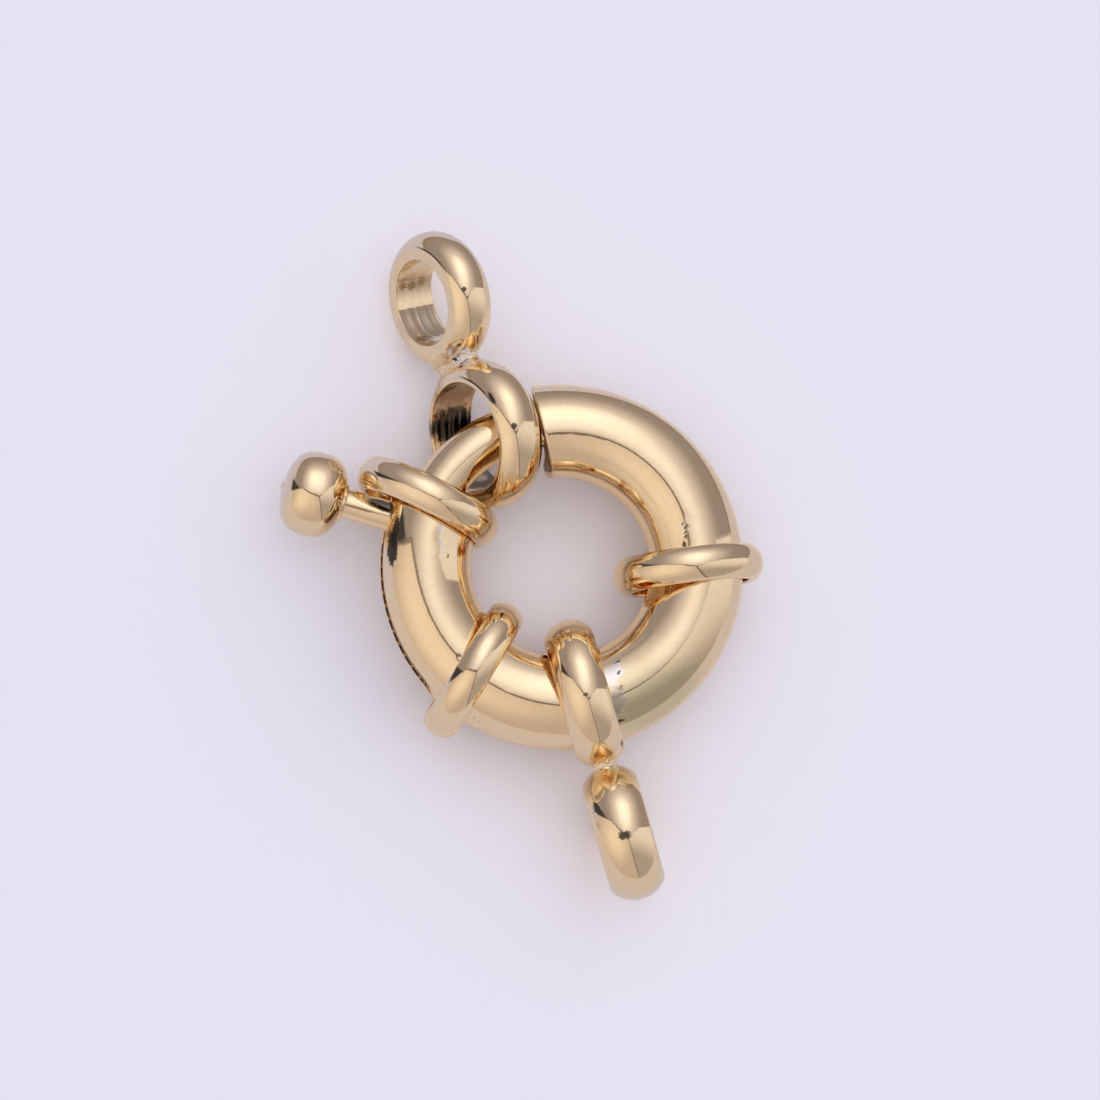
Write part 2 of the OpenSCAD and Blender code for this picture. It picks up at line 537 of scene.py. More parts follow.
@dataclass(frozen=True)
class Finish:
    """Polished champagne gold plating with fine wear, its own marks and painted highlights,
    reflections and shade.
    """

    name: str
    tint: tuple[float, float, float] = (0.93, 0.775, 0.555)
    roughness: float = 0.045
    ripple: float = 0.5
    turning: float = 0.0
    turning_pitch: float = 0.09
    raw_bore: bool = False
    spots: tuple[Spot, ...] = ()
    clouded: tuple[float, float, float] = (0.985, 0.965, 0.93)
    mottled: tuple[float, float, float] = (0.935, 0.925, 0.900)
    raw: tuple[float, float, float] = (0.90, 0.76, 0.58)
    raw_rough: float = 0.50
    cloud_scale: float = 700.0
    fine_scale: float = 5200.0
    wave_scale: float = 1500.0
    small_spot: float = 0.25

    def shade(self, by: tuple[float, float, float]) -> tuple[float, float, float, float]:
        """The tint with each of its channels multiplied."""
        red, green, blue = (one * share for one, share in zip(self.tint, by))
        return (red, green, blue, 1.0)

    @staticmethod
    def across(board: Board) -> Wire:
        """How far across its section a point lies, as Skin has marked it."""
        return board.node("ShaderNodeAttribute", {"attribute_name": "across"}, output="Fac")

    def material(self) -> bpy.types.Material:
        """Build the finish as nodes.

        Returns:
            The material.
        """
        made = bpy.data.materials.get(self.name)
        if made is not None:
            return made
        made = bpy.data.materials.new(self.name)
        made.use_nodes = True
        board = Board(made.node_tree)
        at = board.node("ShaderNodeTexCoord", output="Object")
        cloud = board.noise(at, self.cloud_scale, 3.0, 0.55)
        fine = board.noise(at, self.fine_scale, 3.0, 0.6)
        tint = board.mixed(cloud.ramp(0.35, 0.7), (*self.tint, 1.0), self.shade(self.clouded))
        mottle = fine.ramp(0.44, 0.64)
        tint = board.mixed(mottle * 0.55, tint, self.shade(self.mottled))
        rough = cloud * 0.02 + mottle * 0.02 + (self.roughness - 0.01)
        if self.raw_bore:
            inside = self.across(board).ramp(8.0, 9.0)
            tint = board.mixed(inside, tint, (*self.raw, 1.0))
            rough = rough + inside * self.raw_rough
        if self.spots:
            broad = board.noise(at, 3000.0, 3.0, 0.65)
            small = board.noise(at, 12000.0, 2.0, 0.6)
            # Spots mix marks into the tint; some are painted highlights, painted reflections and
            # painted shade.
            for spot in self.spots:
                edge = small if spot.radius < self.small_spot else broad
                cover = spot.cover(board, at, edge)
                tint = board.mixed(cover, tint, spot.tone.colour)
                rough = rough + cover * spot.tone.rough
        scratches = board.node(
            "ShaderNodeTexNoise", {"noise_dimensions": "3D"},
            {"Vector": board.node("ShaderNodeMapping", {},
                                  {"Vector": at, "Scale": (9000.0, 700.0, 2500.0),
                                   "Rotation": (0.3, 0.5, 0.7)}),
             "Scale": 1.0, "Detail": 2.0},
        )
        rough = rough + scratches.ramp(0.66, 0.75) * 0.05
        height = fine * 0.35 + board.noise(at, self.wave_scale, 2.0, 0.5)
        normal = board.node("ShaderNodeBump", {},
                            {"Strength": 1.0, "Distance": self.ripple * 4e-6,
                             "Height": height})
        if self.turning:
            across = self.across(board)
            lines = (across * (2 * math.pi / self.turning_pitch) + fine * 2.0).wave()
            lines = lines + (across * (2 * math.pi / (self.turning_pitch * 2.7))).wave() * 1.4
            normal = board.node("ShaderNodeBump", {},
                                {"Strength": 1.0, "Distance": self.turning * 1e-6,
                                 "Height": lines * cloud.ramp(0.38, 0.62), "Normal": normal})
        shader = board.node("ShaderNodeBsdfPrincipled", {},
                            {"Base Color": tint, "Metallic": 1.0, "Roughness": rough,
                             "Normal": normal})
        board.node("ShaderNodeOutputMaterial", {}, {"Surface": shader})
        return made


# Grown pieces.


class Growth:
    """A Geometry Nodes tree with named inputs, run once to give a plain mesh."""

    def __init__(self, name: str, inputs: dict[str, float | int]) -> None:
        """Start a tree.

        Args:
            name: name of the tree and of the object to be made.
            inputs: the tree's named inputs and their values.
        """
        self.name = name
        self.values = inputs
        self.tree = bpy.data.node_groups.new(name, "GeometryNodeTree")
        self.board = Board(self.tree)
        self.sockets: dict[str, str] = {}
        faces = self.tree.interface
        faces.new_socket("Geometry", in_out="OUTPUT", socket_type="NodeSocketGeometry")
        faces.new_socket("Geometry", in_out="INPUT", socket_type="NodeSocketGeometry")
        for key, value in inputs.items():
            kind = "NodeSocketInt" if isinstance(value, int) else "NodeSocketFloat"
            self.sockets[key] = faces.new_socket(key, in_out="INPUT", socket_type=kind).identifier
        self.entry = self.tree.nodes.new("NodeGroupInput")

    def value(self, key: str) -> Wire:
        """A named input as a Wire."""
        return Wire(self.board, self.entry.outputs[key])

    def point(self, x: Wire | float, y: Wire | float, z: Wire | float) -> Wire:
        """A point from its three coordinates."""
        return self.board.node("ShaderNodeCombineXYZ", {}, {0: x, 1: y, 2: z})

    def grow(
        self,
        geometry: Wire,
        material: bpy.types.Material,
        stance: np.ndarray | None = None,
        middle: tuple[float, float, float] = (0.0, 0.0, 0.0),
    ) -> bpy.types.Object:
        """Close the tree, run it and stand the result in its place.

        Args:
            geometry: the geometry to hand out.
            material: the material that it wears.
            stance: rotation from the tree's axes to the ring's, none if left out.
            middle: where the tree's origin stands, in millimetres.

        Returns:
            The result as a plain mesh object.
        """
        board = self.board
        smooth = board.node("GeometryNodeSetShadeSmooth", {}, {"Geometry": geometry})
        real = board.node("GeometryNodeRealizeInstances", {}, {"Geometry": smooth})
        dressed = board.node("GeometryNodeSetMaterial", {}, {"Geometry": real,
                                                             "Material": material})
        board.node("NodeGroupOutput", {}, {0: dressed})
        carrier = bpy.data.objects.new(f"{self.name}_carrier",
                                       bpy.data.meshes.new(f"{self.name}_carrier"))
        bpy.context.scene.collection.objects.link(carrier)
        modifier = carrier.modifiers.new(self.name, "NODES")
        modifier.node_group = self.tree
        for key, value in self.values.items():
            modifier[self.sockets[key]] = value
        seen = carrier.evaluated_get(bpy.context.evaluated_depsgraph_get())
        mesh = bpy.data.meshes.new_from_object(seen)
        carrier.modifiers.remove(modifier)
        bpy.data.objects.remove(carrier)
        mesh.name = self.name
        turn = np.eye(3) if stance is None else stance
        points = np.array([v.co for v in mesh.vertices]) @ turn.T + np.array(middle)
        mesh.vertices.foreach_set("co", PLACE.metres(points).astype(np.float32).ravel())
        mesh.update()
        made = bpy.data.objects.new(self.name, mesh)
        bpy.context.scene.collection.objects.link(made)
        return made


# Turned rings.


@dataclass(frozen=True)
class TurnedRing:
    """A half-round ring: a crowned outside, a bored inside and eased edges."""

    outer: float
    bore: float
    width: float
    edge: float = 0.06
    groove: float = 0.0
    grooves: int = 6
    scored: float = 115.0
    shoulder: float = 56.0
    dome_share: float = 0.93
    shoulder_in: float = 0.16
    shoulder_over: float = 0.07
    groove_end: float = 0.05
    around: int = 288

    def section(self) -> tuple[np.ndarray, np.ndarray]:
        """The closed section.

        Returns:
            Points as (radius, height along the axis), and how deep a tool mark
            cuts into the bore at each point, from 0 to 1.
        """
        half = self.width / 2
        ease = self.edge
        last = math.radians(self.shoulder)
        dome = half * self.dome_share / math.sin(last)
        turn = np.linspace(-last, last, 45)
        crown = np.stack([self.outer - dome * (1 - np.cos(turn)), dome * np.sin(turn)], 1)
        top, flat = crown[-1], np.array([self.bore, half - ease])
        side = np.array([top[0] - half * self.shoulder_in, half])
        foot = np.array([self.bore + ease, half])
        rise = half * self.shoulder_over / math.tan(math.pi / 2 - last)
        over = np.array([top[0] - rise, half])
        steps = np.linspace(0, 1, 7)[1:, None]
        bend = (1 - steps) ** 2 * top + 2 * steps * (1 - steps) * over + steps ** 2 * side
        corner = np.array([self.bore, half])
        steps = np.linspace(0, 1, 7)[:-1, None]
        lip = (1 - steps) ** 2 * foot + 2 * steps * (1 - steps) * corner + steps ** 2 * flat
        ease_top = np.vstack([bend, lip])
        along = np.linspace(half - ease, -(half - ease), 97 if self.groove else 13)
        share = along / self.width
        cut = (np.abs(np.sin(math.pi * self.grooves * (share + 0.5 + 0.04 * np.sin(9 * share))))
               * (0.75 + 0.25 * np.sin(23 * share + 1.0)))
        fade = np.clip((half - ease - np.abs(along)) / self.groove_end, 0, 1)
        inside = np.stack([np.full(len(along), self.bore), along], 1)
        ease_low = ease_top[::-1] * np.array([1, -1])
        loop = np.vstack([crown, ease_top, inside, ease_low])
        cuts = np.zeros(len(loop))
        cuts[len(crown) + len(ease_top):len(loop) - len(ease_low)] = cut * fade
        return loop, cuts

    def add_to(self, skin: Skin, middle: np.ndarray, stance: np.ndarray) -> None:
        """Add the ring to a skin.

        Args:
            skin: the skin of the piece.
            middle: the ring's middle.
            stance: rotation whose third column is the ring's axis.
        """
        loop, cuts = self.section()
        turn = np.linspace(0, 2 * math.pi, self.around, endpoint=False)
        scored = 0.12 + 0.88 * np.exp(-((np.degrees(turn) - self.scored) / 42.0) ** 2)
        radii = loop[:, 0] + self.groove * scored[:, None] * cuts
        points = np.stack([np.cos(turn)[:, None] * radii, np.sin(turn)[:, None] * radii,
                           np.tile(loop[:, 1], (self.around, 1))], 2)
        marks = np.tile(loop[:, 1], (self.around, 1))
        skin.sheet(points @ stance.T + middle, marks, wrap_rows=True, wrap_columns=True)


@dataclass(frozen=True)
class Collar:
    """A half-round collar that sits round the tube."""

    node: str
    angle: float
    distance: float
    yaw: float
    bore: float = 2.42
    outer: float = 3.10
    width: float = 1.45

    def build(self, finish: Finish) -> bpy.types.Object:
        """Build and dress the collar.

        Args:
            finish: its finish.

        Returns:
            The piece.
        """
        skin = Skin(f"{self.node}_band")
        stance = turned("Z", self.angle + 90 + self.yaw) @ turned("Y", 90)
        TurnedRing(self.outer, self.bore, self.width, 0.07, shoulder=50.0).add_to(
            skin, PLACE.polar(self.distance, self.angle), stance)
        return hand_in(skin.make(), Body.RING, finish, (self.node,))


class LinkPart(Enum):
    """The two rings of an end link."""

    LARGE = "large"
    EYE = "eye"


@dataclass(frozen=True)
class EndLink:
    """A large ring and a small eye joined by a soldered neck."""

    node: str
    body: Body
    middle: tuple[float, float, float]
    tilt: float
    azimuth: float
    spin: float
    large: TurnedRing = TurnedRing(3.10, 2.31, 2.05, 0.06, 0.014, 7, 60.0)
    eye: TurnedRing = TurnedRing(2.825, 1.785, 1.86, 0.06, 0.024, 4, 118.0)
    pitch: float = 5.92
    neck_width: float = 1.90
    neck_bulge: float = 0.0
    neck_thickness: float = 0.95
    neck_reach: float = 0.46
    beads: int = 34
    bead: float = 0.075

    @property
    def stance(self) -> np.ndarray:
        """Rotation from the link's own axes to the ring's."""
        return turned("Z", self.azimuth) @ turned("Y", self.tilt) @ turned("Z", self.spin)

    @property
    def waist(self) -> float:
        """Distance of the neck's waist from the large ring's middle."""
        return (self.large.outer + self.pitch - self.eye.outer) / 2

    def on(self, ring: LinkPart, turn: float, reach: float, across: float) -> np.ndarray:
        """A point of the link in the ring's axes.

        Args:
            ring: which of the two rings it lies on.
            turn: degrees round that ring, nought away from the other's side.
            reach: distance from that ring's axis.
            across: distance along the axis.

        Returns:
            The point in millimetres.
        """
        base = self.pitch if ring is LinkPart.EYE else 0.0
        own = np.array([base + reach * math.cos(math.radians(turn)),
                        reach * math.sin(math.radians(turn)), across])
        return np.array(self.middle) + self.stance @ own

    def neck(self, skin: Skin) -> None:
        """Add the flat waisted neck of solder between the rings.

        Args:
            skin: the skin of the piece.
        """
        rng = np.random.default_rng(11)
        along = np.linspace(-1, 1, 41)
        turn = np.linspace(0, 2 * math.pi, 96, endpoint=False)
        reach = np.abs(along) * self.neck_reach
        round_in = 0.27
        flare = round_in - np.sqrt(np.clip(round_in ** 2 - np.minimum(reach, round_in) ** 2, 0, 1))
        wide = self.neck_width / 2 + flare
        thick = self.neck_thickness / 2 + 0.55 * flare
        lumps = sum(rng.uniform(0.004, 0.013) * np.cos(k * turn[None, :] + rng.uniform(0, 6)
                                                       + rng.uniform(1, 4) * along[:, None])
                    for k in range(2, 8))
        grow = 1 + lumps
        side = np.sign(np.sin(turn)) * np.abs(np.sin(turn)) ** 0.72
        over = np.sign(np.cos(turn)) * np.abs(np.cos(turn)) ** 0.72
        bulge = self.neck_bulge * np.clip(side, 0, 1)
        points = np.stack([np.tile((self.waist + along * self.neck_reach)[:, None],
                                   (1, len(turn))),
                           wide[:, None] * grow * side + bulge,
                           thick[:, None] * grow * over], 2)
        placed = points @ self.stance.T + np.array(self.middle)
        skin.sheet(placed, wrap_columns=True)
        skin.cap(placed[0])
        skin.cap(placed[-1])

    def solder(self, finish: Finish) -> bpy.types.Object:
        """Grow the beads of solder that ring the neck's waist.

        Args:
            finish: their finish.

        Returns:
            The piece.
        """
        growth = Growth(f"{self.node}_solder_beads", {
            "Half Width": self.neck_width / 2 - 0.02,
            "Half Thickness": self.neck_thickness / 2 - 0.01,
            "Bulge": self.neck_bulge, "Waist": self.waist, "Beads": self.beads,
            "Bead Radius": self.bead, "Seed": 7})
        board = growth.board
        line = board.node("GeometryNodeMeshLine", {"mode": "OFFSET"},
                          {"Count": growth.value("Beads"), "Offset": (0.0, 0.0, 0.0)})
        turn = board.node("GeometryNodeInputIndex") * (2 * math.pi) / growth.value("Beads")
        jitter = board.node("FunctionNodeRandomValue", {"data_type": "FLOAT"},
                            {2: -1.0, 3: 1.0, 8: growth.value("Seed")}, output=1)
        side, over = turn.wave(), (turn + math.pi / 2).wave()
        at = growth.point(growth.value("Waist") + jitter * 0.035,
                          side * growth.value("Half Width")
                          + side.most(0.0) * growth.value("Bulge"),
                          over * growth.value("Half Thickness"))
        placed = board.node("GeometryNodeSetPosition", {}, {"Geometry": line, "Position": at})
        bead = board.node("GeometryNodeMeshIcoSphere", {},
                          {"Radius": growth.value("Bead Radius"), "Subdivisions": 2})
        size = board.node("FunctionNodeRandomValue", {"data_type": "FLOAT"},
                          {2: 0.65, 3: 1.25, 8: growth.value("Seed") + 3.0}, output=1)
        beads = board.node("GeometryNodeInstanceOnPoints", {},
                           {"Points": placed, "Instance": bead,
                            "Scale": growth.point(size * 0.9, size * 1.5, size * 1.1)})
        made = growth.grow(beads, finish.material(), self.stance, self.middle)
        return hand_in(made, self.body, finish, (), self.node)

    def build(self, finish: Finish, solder: Finish) -> bpy.types.Object:
        """Build and dress the link.

        Args:
            finish: the link's finish.
            solder: the finish of the solder round its neck.

        Returns:
            The piece.
        """
        skin = Skin(f"{self.node}_figure_eight")
        middle = np.array(self.middle)
        self.large.add_to(skin, middle, self.stance)
        self.eye.add_to(skin, middle + self.stance @ np.array([self.pitch, 0, 0]), self.stance)
        self.neck(skin)
        self.solder(solder)
        return hand_in(skin.make(), self.body, finish, (self.node,))


# The ring tube.


@dataclass(frozen=True)
class Dent:
    """A shallow dent or bump in the tube's skin."""

    angle: float
    section: float
    radius: float
    depth: float


@dataclass(frozen=True)
class RingTube(BentBar):
    """The bent tube with its slot, mouth, slanted keeper end and inner stop."""

    path: float = 5.60
    radius: float = 1.92
    wall: float = 0.25
    mouth: float = 154.0
    keeper: float = 456.4
    slant: float = 7.5
    slant_run: float = 16.0
    lean: float = 0.12
    reach: float = 0.13
    lip: float = 0.26
    lip_at: float = 214.0
    lip_spread: float = 24.0
    stop: float = 288.0
    stop_play: float = 0.01
    slot_width: float = 1.50
    slot_from: float = 163.7
    slot_to: float = 219.6
    ease: float = 0.045
    end_steps: int = 4
    crease: float = 128.0
    crease_depth: float = 0.014
    around: int = 216
    dents: tuple[Dent, ...] = (
        Dent(169.0, 108.0, 0.30, -0.012),
        Dent(173.5, 116.0, 0.22, -0.010),
        Dent(177.0, 101.0, 0.18, 0.006),
        Dent(20.0, 96.0, 0.16, -0.008),
        Dent(24.0, 92.0, 0.14, 0.006),
        Dent(16.0, 99.0, 0.12, -0.006),
        Dent(222.5, 84.0, 0.20, -0.010),
        Dent(246.0, 88.0, 0.14, -0.006),
    )

    @staticmethod
    def way(angle: float) -> np.ndarray:
        """The direction of the ring's path at an angle."""
        return np.array([-math.sin(math.radians(angle)), math.cos(math.radians(angle)), 0.0])

    def columns(self) -> np.ndarray:
        """Angles of the tube's columns, closer together at the slot's round ends.

        Returns:
            Degrees round the ring, rising from the mouth to the keeper end.
        """
        end = math.degrees(math.asin(self.slot_width / 2 / (self.path + self.radius)))
        parts = [np.arange(self.mouth, self.keeper, 1.15)]
        turn = np.linspace(0, math.pi / 2, 15)
        parts.append(self.slot_from - end * np.cos(turn))
        parts.append(self.slot_to + end * np.cos(turn))
        parts.append(np.array([self.keeper]))
        found = np.unique(np.round(np.concatenate(parts), 4))
        keep = [found[0]]
        for angle in found[1:]:
            if angle - keep[-1] > 0.02:
                keep.append(angle)
        keep[-1] = self.keeper
        return np.array(keep)

    def opening(self, angles: np.ndarray) -> np.ndarray:
        """Half the slot's height at each column.

        Args:
            angles: the columns' angles.

        Returns:
            Millimetres, nought where there is no slot.
        """
        past = np.maximum(self.slot_from - angles, angles - self.slot_to)
        arc = np.sin(np.radians(np.clip(past, 0, 40))) * (self.path + self.radius)
        half = self.slot_width / 2
        return np.sqrt(np.clip(half ** 2 - arc ** 2, 0, None))

    def end_shift(self, distance: np.ndarray) -> np.ndarray:
        """How far the slanted sawn end moves a point, in degrees.

        Args:
            distance: the point's distance from the ring's middle.

        Returns:
            The shift of the point's angle at the very end.
        """
        slant = math.radians(self.slant)
        return self.slant - np.degrees(np.arcsin(self.path / distance * math.sin(slant)))

    def skin_shift(self, angle: np.ndarray, section: np.ndarray) -> np.ndarray:
        """How far the dents push the skin out.

        Args:
            angle: angles round the ring.
            section: angles round the section, from the outside over the top.

        Returns:
            Millimetres outwards.
        """
        total = np.zeros_like(angle + section)
        for dent in self.dents:
            there = (angle - dent.angle + 180) % 360 - 180
            along = np.radians(there) * self.path
            over = np.radians(section - dent.section) * self.radius
            total += dent.depth * np.exp(-(along ** 2 + over ** 2) / (2 * (dent.radius / 2) ** 2))
        turn = np.radians(angle)
        place = self.crease + 1.6 * np.sin(3 * turn + 1) + 0.9 * np.sin(11 * turn)
        place = place + 10.0 * np.exp(-(((angle - 200) / 62.0) ** 2))
        deep = 0.75 + 0.25 * np.sin(7 * turn + 2) + 0.18 * np.sin(23 * turn)
        total -= self.crease_depth * deep * np.exp(-(((section - place) / 3.6) ** 2))
        return total

    def loop(self, half: float) -> tuple[np.ndarray, np.ndarray]:
        """The tube's section as one loop from the slot's lower lip round to its upper.

        Args:
            half: half the slot's height at this column.

        Returns:
            Radii and angles of the section's points; with no slot the lips meet.
        """
        ease = self.ease * min(1.0, half / 0.3)
        inner = self.radius - self.wall
        lip_out = math.asin(half / self.radius)
        lip_in = math.asin(half / inner)
        start = lip_out + ease / self.radius
        outer_turn = np.linspace(start, 2 * math.pi - start, self.around)
        inner_turn = np.linspace(2 * math.pi - lip_in, lip_in, self.around // 2)
        quarter = np.linspace(0, math.pi / 2, 5)[1:]
        fall = ease * (1 - np.cos(quarter))
        slide = start - (ease / self.radius) * np.sin(quarter)
        wall_out = self.radius - ease
        radii = np.concatenate([np.full(self.around, self.radius), self.radius - fall,
                                np.full(self.around // 2, inner), (self.radius - fall)[::-1]])
        turns = np.concatenate([outer_turn, 2 * math.pi - slide, inner_turn, slide[::-1]])
        low = np.arcsin(np.clip(half / max(wall_out, 1e-6), 0, 1))
        turns[self.around + 3], turns[-4] = 2 * math.pi - low, low
        return radii, turns

    def eased_ends(
        self, angles: np.ndarray, radii: np.ndarray, turns: np.ndarray, on_skin: np.ndarray
    ) -> tuple[np.ndarray, np.ndarray, np.ndarray]:
        """Round the outer edge of both open ends with a few columns more.

        Args:
            angles: the columns' angles.
            radii: radii of the section's points, as (columns, points).
            turns: angles of the section's points, as (columns, points).
            on_skin: which of the points lie on the outer skin.

        Returns:
            Angles, radii and turns with the new columns before and after.
        """
        quarter = np.linspace(0, math.pi / 2, self.end_steps + 1)[1:]
        drop = self.ease * (1 - np.cos(quarter))[:, None]
        end = math.degrees(self.ease / self.path)
        short = end * (1 - np.sin(quarter))
        first, last = angles[0], angles[-1]
        angles = np.concatenate([(first + short)[::-1], [first + end], angles[1:-1],
                                 [last - end], last - short])
        radii = np.vstack([(radii[0] - on_skin[0] * drop)[::-1], radii,
                           radii[-1] - on_skin[-1] * drop])
        turns = np.pad(turns, ((self.end_steps, self.end_steps), (0, 0)), "edge")
        return angles, radii, turns

    def bent(self, angles: np.ndarray, radii: np.ndarray, turns: np.ndarray) -> np.ndarray:
        """Stand the section's points round the ring, the keeper end slanting.

        Args:
            angles: the columns' angles.
            radii: radii of the section's points, as (columns, points).
            turns: angles of the section's points, as (columns, points).

        Returns:
            Points in millimetres, as (columns, points, 3).
        """
        distance = self.path + radii * np.cos(turns)
        run = np.clip((angles - (self.keeper - self.slant_run)) / self.slant_run, 0, 1)
        off_lip = (np.degrees(turns) - self.lip_at) / self.lip_spread
        lip = np.exp(-(off_lip ** 2)) * self.lip
        ahead = np.degrees((self.reach + self.lean * np.sin(turns) + lip) / distance)
        bend = (self.end_shift(distance) + ahead) * (run * run * (3 - 2 * run))[:, None]
        around = np.radians(angles[:, None] + bend)
        return np.stack([distance * np.cos(around), distance * np.sin(around),
                         PLACE.ring_height + radii * np.sin(turns)], 2)

    def build(self, finish: Finish) -> bpy.types.Object:
        """Build and dress the tube.

        Args:
            finish: its finish.

        Returns:
            The piece.
        """
        skin = Skin("ring_tube_shell")
        angles = self.columns()
        halves = self.opening(angles)
        loops = [self.loop(half) for half in halves]
        radii = np.array([loop[0] for loop in loops])
        turns = np.array([loop[1] for loop in loops])
        on_skin = radii > self.radius - 1e-9
        radii = radii + np.where(on_skin, self.skin_shift(angles[:, None],
                                                          np.degrees(turns)), 0.0)
        angles, radii, turns = self.eased_ends(angles, radii, turns, on_skin)
        points = self.bent(angles, radii, turns)
        lips = np.zeros(points.shape[1], bool)
        lips[self.around - 1:self.around + 4] = True
        lips[-5:] = True
        closed = np.pad(halves, self.end_steps) <= 1e-9
        skip = (closed[:-1] & closed[1:])[:, None] & lips[None, :]
        marks = turns + np.where(radii < self.radius - self.wall + 0.01, 10.0, 0.0)
        skin.sheet(points, marks, wrap_columns=True, skip=skip)
        for pick in (0, -1):
            outer = points[pick, :self.around]
            inner = points[pick, self.around + 4:self.around + 4 + self.around // 2][::-1]
            match = np.linspace(0, len(inner) - 1, self.around)
            ring = np.stack([np.interp(match, np.arange(len(inner)), inner[:, k])
                             for k in range(3)], 1)
            skin.sheet(np.stack([outer, ring]))
        return hand_in(skin.make(), Body.RING, finish, ("ring_tube",))

    def stop_disc(self, finish: Finish) -> bpy.types.Object:
        """The inner stop that the spring bears on.

        Args:
            finish: its finish.

        Returns:
            The piece.
        """
        face, eased = 2.0, 1.6
        stations = [(self.stop - face, 0.0), (self.stop - face, 0.93), (self.stop - eased, 1.0),
                    (self.stop + eased, 1.0), (self.stop + face, 0.93), (self.stop + face, 0.0)]
        skin = Skin("ring_tube_stop")
        plug = BentBar(self.path, self.radius - self.wall - self.stop_play)
        skin.sheet(plug.loops(stations, 64), wrap_columns=True)
        return hand_in(skin.make(), Body.RING, finish, (), "ring_tube")


# The gate.


@dataclass(frozen=True)
class Bolt(BentBar):
    """The curved round bolt with a stepped, rounded tip."""

    path: float = 5.98
    radius: float = 1.00
    tip: float = 91.0
    tail: float = 172.0
    sides: int = 96

    def build(self, finish: Finish) -> bpy.types.Object:
        """Build and dress the bolt.

        Args:
            finish: its finish.

        Returns:
            The piece.
        """
        stations = [(self.tip, 0.0), (self.tip, 0.45), (self.tip + 0.25, 0.6),
                    (self.tip + 0.8, 0.69), (self.tip + 1.4, 0.7), (self.tip + 4.6, 0.7),
                    (self.tip + 5.0, 0.72), (self.tip + 5.1, 0.88), (self.tip + 5.4, 0.96),
                    (self.tip + 6.0, 1.0)]
        stations += [(float(a), 1.0) for a in np.arange(self.tip + 7, self.tail - 1, 1.0)]
        stations += [(self.tail - 0.9, 1.0), (self.tail - 0.35, 0.97), (self.tail - 0.1, 0.9),
                     (self.tail, 0.78), (self.tail, 0.0)]
        skin = Skin("bolt_bar")
        skin.sheet(self.loops(stations, self.sides), wrap_columns=True)
        return hand_in(skin.make(), Body.GATE, finish, ("bolt",))


@dataclass(frozen=True)
class ReturnSpring:
    """The coil spring between the bolt's tail and the stop, drawn at its closed length."""

    path: float = 5.98
    coil: float = 0.92
    wire: float = 0.11
    turns: int = 27
    start: float = 172.8
    end: float = 285.2

    def build(self, finish: Finish) -> bpy.types.Object:
        """Grow the coil along the bolt's path.

        Args:
            finish: its finish.

        Returns:
            The piece.
        """
        run = math.radians(self.end - self.start)
        close = self.turns * self.wire * 2.15 / (self.path * run)
        growth = Growth("return_spring_coil", {
            "Turns": float(self.turns), "Path Radius": self.path, "Coil Radius": self.coil,
            "Wire Radius": self.wire, "Start": math.radians(self.start), "Run": run,
            "Steps": self.turns * 22})
        board = growth.board
        line = board.node("GeometryNodeCurvePrimitiveLine", {},
                          {"Start": (0.0, 0.0, 0.0), "End": (1.0, 0.0, 0.0)})
        stepped = board.node("GeometryNodeResampleCurve", {},
                             {"Curve": line, "Count": growth.value("Steps")})
        share = board.node("GeometryNodeSplineParameter", output="Factor")
        open_run = board.node("ShaderNodeMapRange", {},
                              {"Value": share, "From Min": 0.05, "From Max": 0.95})
        turn = (share * close + open_run * (1.0 - close)) * growth.value("Run")
        turn = turn + growth.value("Start")
        phase = share * growth.value("Turns") * (2 * math.pi)
        away = (phase + math.pi / 2).wave() * growth.value("Coil Radius")
        away = away + growth.value("Path Radius")
        at = growth.point((turn + math.pi / 2).wave() * away, turn.wave() * away,
                          phase.wave() * growth.value("Coil Radius") + PLACE.ring_height)
        coil = board.node("GeometryNodeSetPosition", {}, {"Geometry": stepped, "Position": at})
        rim = board.node("GeometryNodeCurvePrimitiveCircle", {},
                         {"Resolution": 12, "Radius": growth.value("Wire Radius")})
        wound = board.node("GeometryNodeCurveToMesh", {},
                           {"Curve": coil, "Profile Curve": rim, "Fill Caps": True})
        made = growth.grow(wound, finish.material())
        made.data.materials.clear()
        made.data.materials.append(finish.material())
        tuple(PLACE.metres(PLACE.polar(self.path, self.start)))
        tuple(PLACE.metres(PLACE.polar(self.path, self.end)))
        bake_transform(made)
        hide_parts("return_spring")
        LOG.info("%s: %d faces from gate to ring", made.name, len(made.data.polygons))
        return made


